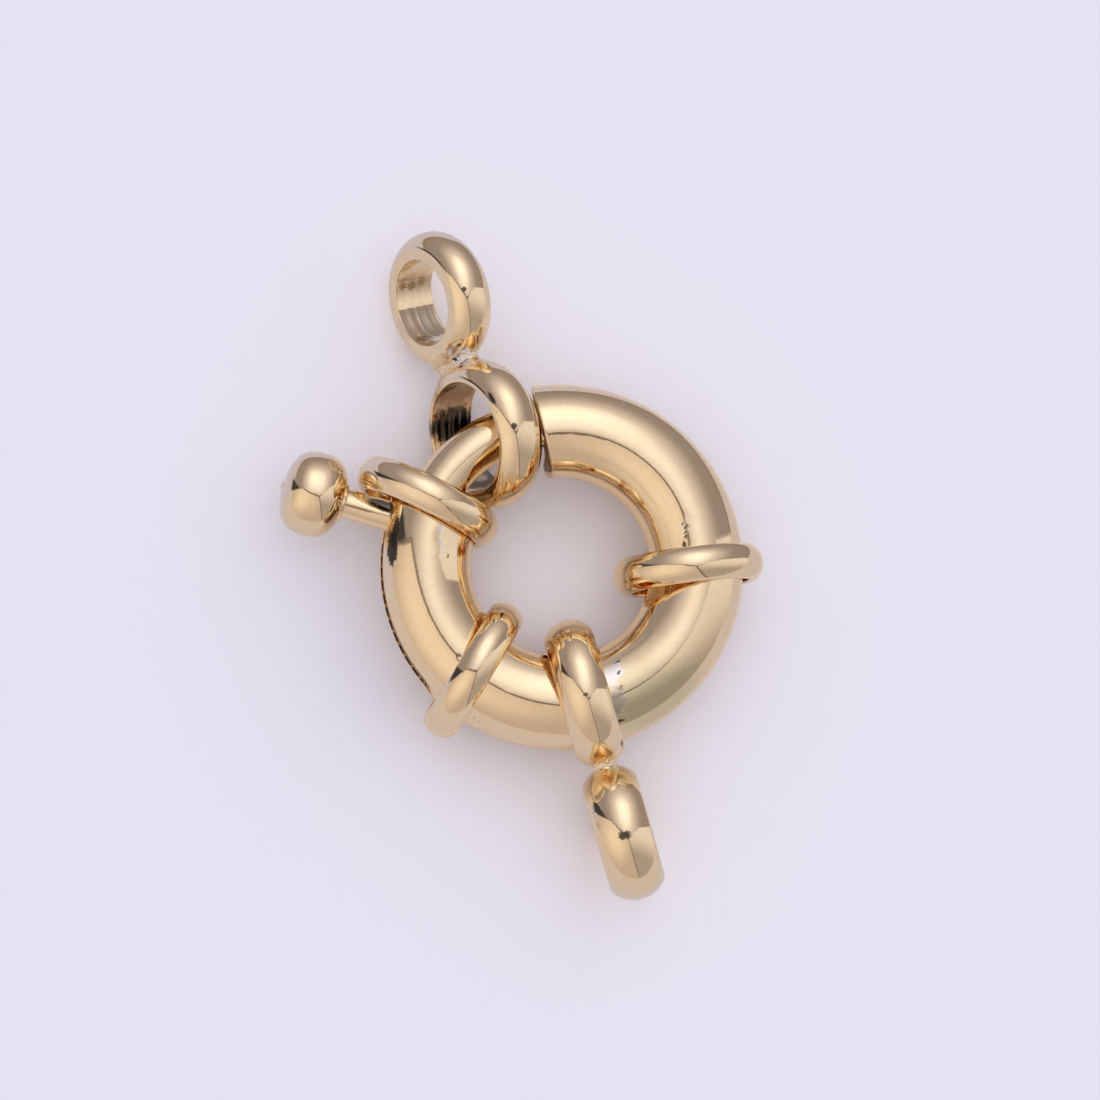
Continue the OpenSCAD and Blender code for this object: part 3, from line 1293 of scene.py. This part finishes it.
@dataclass(frozen=True)
class ThumbKnob:
    """The flattened knob, its shoulder, its small pip and its stem."""

    angle: float = 164.0
    reach: float = 10.55
    diameter: float = 3.48
    thickness: float = 2.60
    stem: float = 0.625
    stem_from: float = 6.93
    sides: int = 160

    def profile(self) -> np.ndarray:
        """Half the outline along the stem.

        Returns:
            Points as (distance along the stem, radius).
        """
        half, wide = self.thickness / 2, self.diameter / 2
        turn = np.linspace(0, math.pi, 61)
        power = 0.80
        along = self.reach - half * np.sign(np.cos(turn)) * np.abs(np.cos(turn)) ** power
        radius = wide * np.sin(turn) ** power
        knob = np.stack([along, radius], 1)
        seat = knob[(knob[:, 1] > self.stem * 1.4) | (knob[:, 0] > self.reach)]
        foot = seat[0, 0]
        stem = np.array([[self.stem_from, 0.0], [self.stem_from, self.stem * 0.9],
                         [self.stem_from + 0.05, self.stem],
                         [self.stem_from + 0.4, self.stem], [self.stem_from + 1.2, self.stem],
                         [foot - 0.25, self.stem], [foot - 0.16, self.stem * 1.02],
                         [foot - 0.10, self.stem * 1.30], [foot - 0.02, self.stem * 1.34],
                         [foot + 0.02, self.stem * 1.31]])
        end = self.reach + half
        pip = np.array([[end + 0.03, 0.16], [end + 0.07, 0.12], [end + 0.09, 0.0]])
        return np.vstack([stem, seat[seat[:, 1] > 0.2], pip])

    def on(self, along: float, left: float, up: float) -> np.ndarray:
        """A point given along the stem, to its left and up, in millimetres."""
        turn = math.radians(self.angle)
        return np.array([along * math.cos(turn) - left * math.sin(turn),
                         along * math.sin(turn) + left * math.cos(turn),
                         PLACE.ring_height + up])

    def build(self, finish: Finish) -> bpy.types.Object:
        """Build and dress the knob and its stem.

        Args:
            finish: its finish.

        Returns:
            The piece.
        """
        outline = self.profile()
        turn = np.linspace(0, 2 * math.pi, self.sides, endpoint=False)
        points = np.stack([np.outer(outline[:, 1], np.cos(turn)),
                           np.outer(outline[:, 1], np.sin(turn)),
                           np.tile(outline[:, 0][:, None], (1, self.sides))], 2)
        stance = turned("Z", self.angle) @ turned("Y", 90)
        skin = Skin("thumb_knob_ball")
        skin.sheet(points @ stance.T + np.array([0, 0, PLACE.ring_height]), wrap_columns=True)
        return hand_in(skin.make(), Body.GATE, finish, ("thumb_knob",))


# The studio.


class Sheet(Enum):
    """Colours of the light tent's sheets, seams and floor as the metal mirrors them."""

    SEAM = (0.15, 0.115, 0.085)
    FOLD = (0.055, 0.055, 0.060)
    STUD = (0.10, 0.085, 0.07)
    LAMP = (1.32, 1.30, 1.24)
    GLOW = (1.02, 0.93, 0.91)
    NORTH = (0.335, 0.295, 0.295)
    WEST_NEAR = (0.950, 0.815, 0.690)
    WEST_FAR = (0.575, 0.485, 0.425)
    EAST_HIGH = (0.860, 0.795, 0.760)
    EAST_LOW = (0.430, 0.385, 0.360)
    HAZE = (0.25, 0.21, 0.20)
    HEM = (0.30, 0.20, 0.14)
    FLOOR_NEAR = (0.690, 0.612, 0.600)
    FLOOR_FAR = (0.628, 0.595, 0.655)
    FLOOR_NORTH = (0.610, 0.590, 0.730)
    BACKDROP = (0.745, 0.735, 0.86)
    SHADE_LOW = (0.64, 0.59, 0.60)
    SHADE_HIGH = (0.80, 0.80, 0.84)

    @property
    def colour(self) -> tuple[float, float, float, float]:
        """The colour with full cover."""
        return (*self.value, 1.0)


@dataclass(frozen=True)
class Studio:
    """Plain floor, the light tent that the metal mirrors, and the camera.

    Places on the tent are places on a mirror ball as the camera sees it, east and
    north from -1 to 1.
    """

    lean_south: float = 6.0
    lean_west: float = 5.0
    distance: float = 350.0
    aim: tuple[float, float, float] = (1.16515, 0.59194, 3.1)
    lens: float = 279.49
    floor_tint: tuple[float, float, float] = (0.705, 0.702, 0.768)
    floor_warmth: tuple[float, float, float] = (0.66, 0.60, 0.575)
    floor_seen: tuple[float, float] = (0.010, 0.013)
    top_light: tuple[float, float, float] = (0.20, 0.30, 0.93)
    top_focus: float = 2.2
    top_strength: float = 1.40
    fill: float = 0.85
    second_gain: float = 2.2
    lamp: tuple[float, float] = (0.080, 0.39)
    west_glow: tuple[float, float] = (-0.26, -0.10)
    join: tuple[float, float] = (0.115, -0.050)
    fall_west: float = 0.488
    fall_east: float = 0.60
    fall_far: float = 0.15
    bends: tuple[float, float] = (-0.42, 0.33)
    stud: tuple[float, float] = (0.065, 0.0)
    hem_middle: tuple[float, float] = (0.06, 0.10)
    hem_reach: tuple[float, float] = (0.730, 0.760)

    @property
    def towards(self) -> np.ndarray:
        """Unit direction from the clasp to the camera."""
        west, south = (-math.sin(math.radians(self.lean_west)),
                       -math.sin(math.radians(self.lean_south)))
        return np.array([west, south, math.sqrt(1 - west ** 2 - south ** 2)])

    def camera(self) -> None:
        """Stand the camera at the photograph's angle."""
        back = Vector(self.towards)
        right = Vector((0, 1, 0)).cross(back).normalized()
        up = back.cross(right)
        data = bpy.data.cameras.new("studio_camera")
        data.sensor_width, data.lens = 36.0, self.lens
        data.clip_start, data.clip_end = 0.01, 10.0
        made = bpy.data.objects.new("studio_camera", data)
        made.matrix_world = Matrix.Translation(
            (Vector(self.aim) + back * self.distance) * MM) @ Matrix(
                (right, up, back)).transposed().to_4x4()
        bpy.context.scene.collection.objects.link(made)
        bpy.context.scene.camera = made

    def floor(self) -> None:
        """Lay the plain pale floor."""
        mesh = bpy.data.meshes.new("floor")
        far = 3.0
        mesh.from_pydata([(-far, -far, 0), (far, -far, 0), (far, far, 0), (-far, far, 0)],
                         [], [(0, 1, 2, 3)])
        made = bpy.data.objects.new("floor", mesh)
        bpy.context.scene.collection.objects.link(made)
        paint = bpy.data.materials.new("floor_card")
        paint.use_nodes = True
        board = Board(paint.node_tree)
        mirrored = board.node("ShaderNodeLightPath", output="Is Glossy Ray")
        tint = board.mixed(mirrored, (*self.floor_tint, 1.0), (*self.floor_warmth, 1.0))
        card = board.node("ShaderNodeBsdfDiffuse", {}, {"Color": tint})
        clear = board.node("ShaderNodeBsdfTransparent", {}, {"Color": (1.0, 1.0, 1.0, 1.0)})
        at = board.node("ShaderNodeTexCoord", output="Object")
        away = board.vector("DISTANCE", at, tuple(PLACE.metres(np.zeros(3))), output="Value")
        shader = board.node("ShaderNodeMixShader", {},
                            {0: mirrored * away.ramp(*self.floor_seen), 1: card, 2: clear})
        board.node("ShaderNodeOutputMaterial", {}, {"Surface": shader})
        mesh.materials.append(paint)

    def tent(self) -> None:
        """Paint the surroundings by direction: soft box, panels, seams and floor."""
        world = bpy.data.worlds.new("light_tent")
        bpy.context.scene.world = world
        world.use_nodes = True
        board = Board(world.node_tree)
        sky = board.node("ShaderNodeTexCoord", output="Generated")
        back = self.towards
        right = np.cross([0, 1, 0], back)
        right /= np.linalg.norm(right)
        up = np.cross(back, right)
        middle = board.vector("NORMALIZE", board.vector("ADD", sky, tuple(back)))
        east = board.dot(middle, tuple(right))
        north = board.dot(middle, tuple(up))
        panels = self.panels(board, east, north)
        height = board.dot(sky, (0.0, 0.0, 1.0))
        lobe = board.dot(sky, self.top_light).most(0.0) ** self.top_focus
        soft = board.mixed((height + 1.0) * 0.5, Sheet.SHADE_LOW.colour, Sheet.SHADE_HIGH.colour)
        path = board.node("ShaderNodeLightPath", output="Is Diffuse Ray")
        shine = board.node("ShaderNodeLightPath", output="Is Glossy Ray")
        seen = board.mixed(path, Sheet.BACKDROP.colour, soft)
        bounced = board.node("ShaderNodeLightPath", output="Diffuse Depth").least(1.0)
        lit = lobe * self.top_strength + self.fill
        mirrored = bounced * shine * self.second_gain + 1.0
        strength = path * lit + (1.0 - path) * mirrored
        seen = board.mixed(shine, seen, panels)
        glow = board.node("ShaderNodeBackground", {}, {"Color": seen, "Strength": strength})
        board.node("ShaderNodeOutputWorld", {}, {"Surface": glow})

    def soft_box(self, board: Board, east: Wire, north: Wire) -> Wire:
        """The northern sheet with the lamp's glow behind it.

        Args:
            board: the world's board.
            east: place on the ball, -1 to 1 from left to right.
            north: place on the ball, -1 to 1 from low to high.

        Returns:
            The colour seen there.
        """
        across = east - self.lamp[0]
        over = north - self.lamp[1]
        over = over.most(0.0) * 1.22 + over.least(0.0) * 0.62
        away = across.span(over)
        halo = board.mixed(away.ramp(0.52, 0.06), Sheet.NORTH.colour, Sheet.GLOW.colour)
        return board.mixed(away.ramp(0.26, 0.02), halo, Sheet.LAMP.colour)

    def panels(self, board: Board, east: Wire, north: Wire) -> Wire:
        """The tent as a mirror ball would show it.

        Args:
            board: the world's board.
            east: place on the ball, -1 to 1 from left to right.
            north: place on the ball, -1 to 1 from low to high.

        Returns:
            The colour seen there.
        """
        seam = Sheet.SEAM.colour
        join_east, join_north = self.join
        past = east - join_east
        sheet = self.soft_box(board, east, north)
        west_glow = (east - self.west_glow[0]).span(north - self.west_glow[1])
        south_west = board.mixed(west_glow.ramp(0.50, 0.06), Sheet.WEST_FAR.colour,
                                 Sheet.WEST_NEAR.colour)
        south_east = board.mixed((north + east * 0.05).ramp(-0.31, 0.09),
                                 Sheet.EAST_LOW.colour, Sheet.EAST_HIGH.colour)
        rise = north - join_north
        split = past + rise * 0.25
        south = board.mixed(split.ramp(-0.006, 0.006), south_west, south_east)
        crack = split.size().ramp(0.019, 0.007) * 0.85
        south = board.mixed(crack, south, seam)
        bend_west, bend_east = self.bends
        line_west = rise + past.most(bend_west) * self.fall_west
        line_east = (rise - past.least(bend_east) * self.fall_east
                     - (past - bend_east).most(0.0) * self.fall_far)
        line = board.node("ShaderNodeMix", {"data_type": "FLOAT"},
                          {0: past.ramp(-0.01, 0.01), 2: line_west, 3: line_east})
        inside = board.mixed(line.ramp(-0.007, 0.007), south, sheet)
        edge = line.size().ramp(0.026, 0.009) * past.ramp(0.14, 0.02) * past.ramp(-0.50, -0.10)
        inside = board.mixed(edge * 0.9, inside, seam)
        thin = line.size().ramp(0.013, 0.005) * past.ramp(-0.1, -0.3)
        inside = board.mixed(thin * 0.7, inside, seam)
        wedge = (line_west.ramp(0.0, 0.012)
                 * (line_west + (east + 0.40) * 0.72).ramp(0.012, -0.012)
                 * east.ramp(-0.76, -0.70))
        spot = (east - self.stud[0]).span(north - self.stud[1])
        inside = board.mixed(spot.ramp(0.048, 0.022) * 0.2, inside, Sheet.STUD.colour)
        return board.mixed(wedge, self.horizon(board, east, north, inside), Sheet.FOLD.colour)

    def horizon(self, board: Board, east: Wire, north: Wire, inside: Wire) -> Wire:
        """Close the tent at its lower rim with the floor.

        Args:
            board: the world's board.
            east: place on the ball.
            north: place on the ball.
            inside: the colour of the tent's sheets.

        Returns:
            The colour seen there.
        """
        across = ((east - self.hem_middle[0]) / self.hem_reach[0]).size()
        over = ((north - self.hem_middle[1]) / self.hem_reach[1]).size()
        round_rim = across ** 2.0 + over ** 2.0
        square_rim = across ** 2.7 + over ** 2.7
        rim = board.node("ShaderNodeMix", {"data_type": "FLOAT"},
                         {0: north.ramp(-0.15, 0.25), 2: round_rim, 3: square_rim})
        haze = rim.ramp(0.74, 0.98) * north.ramp(0.05, 0.45)
        inside = board.mixed(haze * 0.30, inside, Sheet.HAZE.colour)
        line = (rim - 0.95).size().ramp(0.06, 0.02) * north.ramp(0.0, 0.3) * 0.45
        inside = board.mixed(line, inside, Sheet.HEM.colour)
        limb = east.span(north)
        ground = board.mixed(limb.ramp(0.70, 0.97), Sheet.FLOOR_NEAR.colour,
                             Sheet.FLOOR_FAR.colour)
        ground = board.mixed((north - east * 0.5).ramp(0.1, 0.7), ground,
                             Sheet.FLOOR_NORTH.colour)
        return board.mixed(rim.ramp(0.965, 1.045), inside, ground)


# The clasp.


@dataclass
class SailorClasp:
    """All pieces of the clasp in the order in which they are made."""

    tube: RingTube = field(default_factory=RingTube)
    collars: tuple[Collar, ...] = (
        Collar("mouth_collar", 154.3, 6.06, 0.0, 2.50),
        Collar("lower_collar", 230.0, 5.57, 9.0),
        Collar("side_collar", -0.9, 5.26, 8.0),
    )
    fixed: EndLink = EndLink("fixed_link", Body.RING, (0.97126, -5.18990, 3.10),
                             83.6, 15.8, -87.36,
                             eye=TurnedRing(2.825, 1.785, 2.30, 0.07, 0.022, 5, 118.0, 50.0))
    swing: EndLink = EndLink("swing_link", Body.LOOSE_LINK, (-3.09, 5.47, 3.0214),
                             61.0, 196.0, -85.2, neck_bulge=0.46)
    bolt: Bolt = field(default_factory=Bolt)
    knob: ThumbKnob = field(default_factory=ThumbKnob)
    spring: ReturnSpring = field(default_factory=ReturnSpring)

    def tube_marks(self) -> tuple[Spot, ...]:
        """Smudges, specks and solder stains on the tube, and a painted highlight and a painted
        dark reflection at the keeper end's lip.

        Returns:
            The marks.
        """
        on, way = self.tube.on, self.tube.way
        over = np.array([0.35, 0.93, 0.0])
        return (
            Spot(on(304, 50), 1.20, Tone.OLIVE, 0.85, 0.9, 0.5, way(304), 1.8),
            Spot(on(301, 95), 0.80, Tone.OLIVE, 0.55, 0.9, 0.5, way(302), 1.6),
            Spot(on(293.8, 110), 0.36, Tone.SOLDER_AND_GLINT, 0.95, 0.4, 1.2, over, 1.5),
            Spot(on(289.5, 72), 0.36, Tone.GREY, 0.9, 0.4, 1.3, over, 2.0),
            Spot(on(298.6, 122), 0.045, Tone.BLACK, 0.9, 0.5, 1.8, way(298), 3.0),
            Spot(on(296.2, 108), 0.050, Tone.BLACK, 0.9, 0.5, 1.8, over, 2.0),
            Spot(on(294.2, 90), 0.040, Tone.BROWN, 0.9, 0.5, 1.8, over, 3.0),
            Spot(on(289.8, 50), 0.065, Tone.BLACK, 0.9, 0.5, 1.8, way(290), 2.6),
            Spot(on(169.5, 43), 0.17, Tone.BLACK, 0.95, 0.25, 0.8, way(170), 4.0),
            Spot(on(175.3, 42), 0.30, Tone.BLACK, 0.95, 0.25, 0.8, way(175), 2.4),
            Spot(on(180.2, 47), 0.07, Tone.SOLDER_AND_GLINT, 0.9, 0.4, 1.5, over, 1.5),
            Spot(on(166.5, 101), 0.075, Tone.SOLDER_AND_GLINT, 0.85, 0.5, 1.7, way(163), 3.5),
            Spot(on(171.0, 105), 0.060, Tone.SOLDER_AND_GLINT, 0.85, 0.5, 1.9, way(180), 3.0),
            Spot(on(174.4, 109), 0.070, Tone.SOLDER_AND_GLINT, 0.90, 0.5, 1.7, way(170), 2.5),
            Spot(on(168.5, 97), 0.16, Tone.TARNISH, 0.35, 0.7, 1.3, way(168), 2.0),
            Spot(on(177.4, 116), 0.045, Tone.BLACK, 0.85, 0.5, 1.5, way(177), 1.8),
            Spot(on(16.5, 106.5), 0.045, Tone.SOLDER_AND_GLINT, 0.9, 0.5, 1.6, way(16), 8.0),
            # Painted pale highlight on the keeper end's lip.
            Spot(on(99.5, 214) + np.array([0.0, 0.12, 0.10]), 0.34, Tone.SOLDER_AND_GLINT, 0.85, 0.5, 0.8),
            # Painted dark reflection beside it.
            Spot(on(98.6, 208) + np.array([0.0, 0.20, 0.12]), 0.09, Tone.DARK_REFLECTION_AND_SHADE, 0.9, 0.5, 1.2),
            Spot(on(85.5, 169), 0.09, Tone.SOLDER_AND_GLINT, 0.95, 0.5, 0.9, way(85.5), 8.0),
            Spot(on(92.0, 99.2), 0.05, Tone.BROWN, 0.85, 0.5, 1.2, way(92.0), 9.0),
            Spot(on(83.0, 99.0), 0.05, Tone.BROWN, 0.80, 0.5, 1.2, way(83.0), 9.0),
            Spot(on(75.0, 98.6), 0.045, Tone.BROWN, 0.70, 0.5, 1.2, way(75.0), 9.0),
            Spot(on(12.0, 103.0), 0.06, Tone.BROWN, 0.6, 0.5, 1.8, way(12), 3.0),
            Spot(on(18.6, 105.0), 0.035, Tone.BLACK, 0.8, 0.5, 1.6, over, 1.8),
            Spot(on(16.6, 103.5), 0.040, Tone.BLACK, 0.8, 0.5, 1.6, over, 1.8),
            Spot(on(14.6, 104.5), 0.040, Tone.BLACK, 0.8, 0.5, 1.6, over, 1.8),
            Spot(on(12.4, 106.0), 0.045, Tone.BLACK, 0.8, 0.5, 1.6, over, 2.0),
            Spot(on(9.2, 109.0), 0.085, Tone.BLACK, 0.9, 0.5, 1.4, way(9), 1.6),
            Spot(on(238.3, 33), 0.035, Tone.BROWN, 0.75, 0.5, 1.6),
            Spot(on(240.2, 29), 0.040, Tone.BROWN, 0.75, 0.5, 1.6),
            Spot(on(242.2, 27), 0.035, Tone.BROWN, 0.75, 0.5, 1.6),
            Spot(on(226.0, 60), 0.10, Tone.SOLDER_AND_GLINT, 0.6, 0.6, 1.8, way(226), 2.0),
        )

    def swing_marks(self) -> tuple[Spot, ...]:
        """Stains and solder on the loose link, with painted amber reflections, painted dark
        reflections in the large ring's bore and a painted highlight.

        Returns:
            The marks.
        """
        on, link = self.swing.on, self.swing
        axis = link.stance[:, 2]
        bore, wide = link.eye.bore, link.large.bore
        eye, large = LinkPart.EYE, LinkPart.LARGE
        chord = link.stance @ np.array([0.94, 0.34, 0.0])
        return (
            Spot(on(eye, 50, bore, 0.58), 0.17, Tone.BROWN, 0.8, 0.6, 1.2),
            Spot(on(eye, 51, bore, 0.12), 0.20, Tone.BROWN, 0.75, 0.6, 1.2),
            Spot(on(eye, 47, bore, -0.38), 0.18, Tone.TARNISH, 0.85, 0.6, 1.2),
            Spot(on(eye, 44, bore, 0.0), 0.40, Tone.TARNISH, 0.45, 0.8, 1.0, axis, 2.0),
            Spot(on(eye, 132, bore, 0.45), 0.22, Tone.BROWN, 0.8, 0.4, 1.0, axis, 1.6),
            Spot(on(eye, -163, 2.72, 0.45), 0.46, Tone.SOLDER_AND_GLINT, 0.97, 0.4, 0.8, axis, 1.4),
            Spot(on(eye, -172, 2.70, 0.52), 0.11, Tone.BLACK, 0.95, 0.4),
            # Painted amber reflections from the neighbouring gold.
            Spot(on(large, -20, 3.08, -0.20), 0.30, Tone.AMBER_REFLECTION, 0.8, 0.6, 1.2),
            Spot(on(eye, -148, 2.78, 0.2), 0.30, Tone.AMBER_REFLECTION, 0.7, 0.6, 1.3),
            Spot(on(large, 24, wide, 0.1), 0.85, Tone.TARNISH, 0.85, 0.7, 0.6, axis, 1.3),
            # Painted dark reflection and shade inside the large ring's bore, with a painted grey
            # highlight.
            Spot(on(large, 62, wide, 0.0), 0.75, Tone.DARK_REFLECTION_AND_SHADE, 0.96, 0.35, 0.7, axis, 1.5),
            Spot(on(large, 128, wide, -0.2), 0.80, Tone.DARK_REFLECTION_AND_SHADE, 0.92, 0.35, 0.7, axis, 1.3),
            Spot(on(large, 127, wide, -0.34), 0.24, Tone.GREY, 0.85, 0.6, 0.7, axis, 1.4),
            Spot(on(eye, -98, 2.66, 0.56), 0.10, Tone.BLACK, 0.9, 0.5, 1.4),
            Spot(on(eye, 108, bore, 0.0), 0.80, Tone.GREY, 0.45, 0.8, 0.8, axis, 1.2),
            Spot(on(large, -70, 2.64, 0.88), 0.085, Tone.BLACK, 0.95, 0.4, 0.8, chord, 3.6),
            Spot(on(large, -67, 2.50, 1.0), 0.07, Tone.SOLDER_AND_GLINT, 0.95, 0.4, 0.8, chord, 3.6),
            Spot(on(large, -84, 2.57, 0.92), 0.045, Tone.BLACK, 0.9, 0.5, 1.6),
            Spot(on(large, -88, 2.60, 0.90), 0.035, Tone.BROWN, 0.9, 0.5, 1.6),
            Spot(on(large, -100, 2.93, 0.58), 0.12, Tone.BLACK, 0.92, 0.5, 1.2),
            # Painted amber reflection.
            Spot(on(large, -148, 2.90, 0.50), 0.42, Tone.AMBER_REFLECTION, 0.6, 0.8, 1.0),
        )

    def fixed_marks(self) -> tuple[Spot, ...]:
        """Solder and specks on the soldered link, with a painted dark reflection on the eye's
        crown and painted amber reflections.

        Returns:
            The marks.
        """
        on, link = self.fixed.on, self.fixed
        axis = link.stance[:, 2]
        across = link.stance @ np.array([0.92, -0.39, 0.0])
        eye, large = LinkPart.EYE, LinkPart.LARGE
        return (
            Spot(on(large, -24, 2.61, 0.90), 0.11, Tone.BLACK, 0.95, 0.4, 0.9,
                 link.stance @ np.array([0.4, 0.92, 0.0]), 2.4),
            # Painted dark reflection of the camera on the eye's crown.
            Spot(on(eye, -88, 2.82, 0.00), 0.17, Tone.BLACK, 0.92, 0.5, 0.9, axis, 1.5),
            Spot(on(large, -88, 3.10, 0.06), 0.08, Tone.BLACK, 0.8, 0.6, 1.6, axis, 1.3),
            # Painted amber reflections from the neighbouring gold.
            Spot(on(large, -29, 3.05, 0.0), 0.42, Tone.AMBER_REFLECTION, 0.7, 0.6, 0.8, axis, 1.2),
            Spot(on(eye, -150, 2.75, 0.1), 0.46, Tone.AMBER_REFLECTION, 0.6, 0.6, 1.1, axis, 1.4),
            Spot(on(eye, -133, 2.80, 0.0), 0.09, Tone.SOLDER_AND_GLINT, 0.9, 0.5, 1.2, axis, 2.0),
            Spot(on(eye, -112, 2.43, -0.92), 0.045, Tone.BROWN, 0.6, 0.5, 1.4, across, 12.0),
            Spot(on(eye, -120, 2.30, -1.02), 0.045, Tone.SOLDER_AND_GLINT, 0.8, 0.5, 1.4, across, 9.0),
        )

    def gate_marks(self) -> tuple[Spot, ...]:
        """Painted shade and painted reflections on the bolt and the knob's stem, and a brown line
        on the stem.

        Returns:
            The marks.
        """
        way = self.tube.way
        turn = math.radians(self.knob.angle)
        stem = np.array([math.cos(turn), math.sin(turn), 0.0])
        return (
            # Painted dark and amber reflections on the bolt's flank.
            Spot(self.bolt.on(122, 138), 0.22, Tone.BROWN, 0.85, 0.7, 0.8, way(122), 3.6),
            Spot(self.bolt.on(114, 128), 0.20, Tone.AMBER_REFLECTION, 0.75, 0.8, 0.8, way(114), 3.0),
            # Painted shade on the top of the stem beside the collar.
            Spot(self.knob.on(7.75, -0.30, 0.52), 0.26, Tone.DARK_REFLECTION_AND_SHADE, 0.92, 0.5, 0.7, stem, 2.4),
            Spot(self.knob.on(8.6, 0.12, 0.62), 0.05, Tone.BROWN, 0.8, 0.6, 0.8, stem, 14.0),
        )

    def build(self) -> None:
        """Build every piece."""
        solder = Finish("solder_pale", tint=(0.90, 0.87, 0.82), roughness=0.16, ripple=1.6)
        tube_gold = Finish("tube_gold", ripple=0.6, raw_bore=True, spots=self.tube_marks())
        self.tube.build(tube_gold)
        self.tube.stop_disc(tube_gold)
        for collar in self.collars:
            collar.build(Finish(f"{collar.node}_gold", turning=0.5, turning_pitch=0.16))
        self.fixed.build(Finish("fixed_link_gold", turning=0.12, turning_pitch=0.11,
                                spots=self.fixed_marks()), solder)
        self.swing.build(Finish("swing_link_gold", turning=0.12, turning_pitch=0.11,
                                spots=self.swing_marks()), solder)
        self.bolt.build(Finish("bolt_gold", ripple=0.5, spots=self.gate_marks()))
        self.knob.build(Finish("knob_gold", ripple=0.4, spots=self.gate_marks()))
        self.spring.build(Finish("spring_wire", tint=(0.50, 0.38, 0.25), roughness=0.24))


def main() -> None:
    """Build the studio and the clasp."""
    logging.basicConfig(level=logging.INFO, format="%(name)s %(message)s")
    bpy.context.scene.view_settings.view_transform = "Standard"
    bpy.context.scene.cycles.max_bounces = 16
    bpy.context.scene.cycles.glossy_bounces = 14
    studio = Studio()
    studio.camera()
    studio.floor()
    studio.tent()
    SailorClasp().build()


if __name__ == "__main__":
    main()
